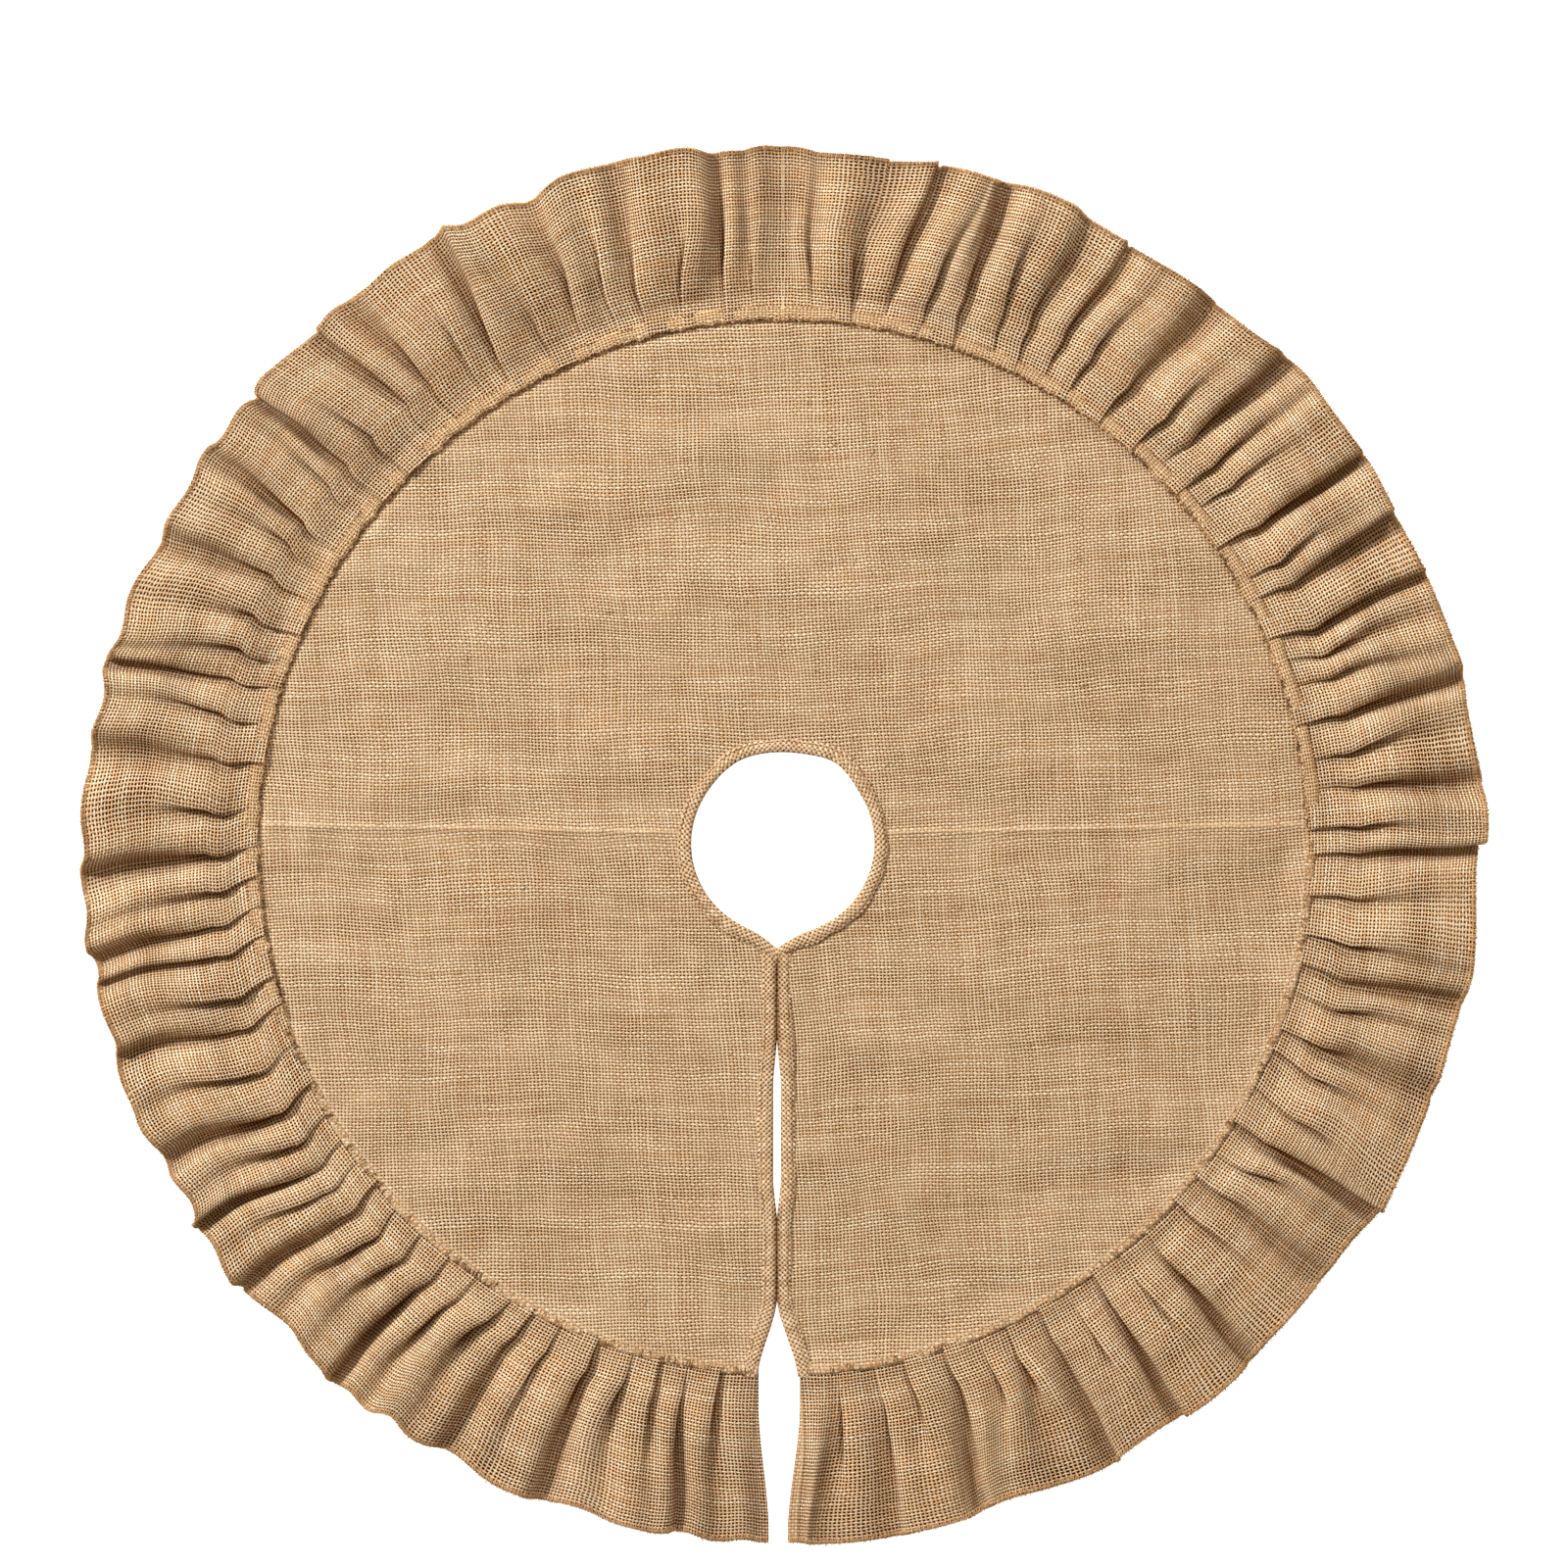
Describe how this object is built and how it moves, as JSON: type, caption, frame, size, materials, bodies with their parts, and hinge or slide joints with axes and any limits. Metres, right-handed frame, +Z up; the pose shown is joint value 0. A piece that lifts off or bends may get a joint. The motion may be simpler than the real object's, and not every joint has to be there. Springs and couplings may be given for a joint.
{
  "type": "tree skirt",
  "caption": "Flat round burlap tree skirt with a bound trunk hole, a slit from hole to rim, and a pleated ruffle round the edge.",
  "frame": {"origin": "centre of the trunk hole, on the floor under the skirt", "axes": "+Z up; the slit runs towards -Y; the storage crease lies along X"},
  "size_m": [1.2192, 1.219, 0.016],
  "materials": {
    "panel_burlap": "open plain-weave jute, matt",
    "ruffle_burlap": "open plain-weave jute, matt",
    "bias_binding": "jute cut on the bias and folded, matt",
    "overlock_thread": "jute-coloured overlock thread",
    "sewing_thread": "brown sewing thread"
  },
  "bodies": {
    "back_half": {"panel_back": "panel_burlap", "neck_binding_back": "bias_binding", "ruffle_back_left": "ruffle_burlap", "ruffle_back_right": "ruffle_burlap", "rim_overlock_back_left": "overlock_thread", "rim_overlock_back_right": "overlock_thread", "ruffle_seam_thread_back": "sewing_thread", "neck_thread_back": "sewing_thread"},
    "left_flap": {"panel_front_left": "panel_burlap", "neck_binding_left": "bias_binding", "slit_binding_left": "bias_binding", "ruffle_front_left": "ruffle_burlap", "rim_overlock_front_left": "overlock_thread", "ruffle_seam_thread_left": "sewing_thread", "neck_thread_left": "sewing_thread", "slit_thread_left": "sewing_thread"},
    "right_flap": {"panel_front_right": "panel_burlap", "neck_binding_right": "bias_binding", "slit_binding_right": "bias_binding", "ruffle_front_right": "ruffle_burlap", "rim_overlock_front_right": "overlock_thread", "ruffle_seam_thread_right": "sewing_thread", "neck_thread_right": "sewing_thread", "slit_thread_right": "sewing_thread"}
  },
  "joints": [
    {"name": "left_fold", "type": "hinge", "parent": "back_half", "child": "left_flap", "pos_m": [-0.345, 0, 0.017], "axis": [-1, 0, 0], "range_deg": [0, 176]},
    {"name": "right_fold", "type": "hinge", "parent": "back_half", "child": "right_flap", "pos_m": [0.345, 0, 0.017], "axis": [-1, 0, 0], "range_deg": [0, 176]}
  ]
}
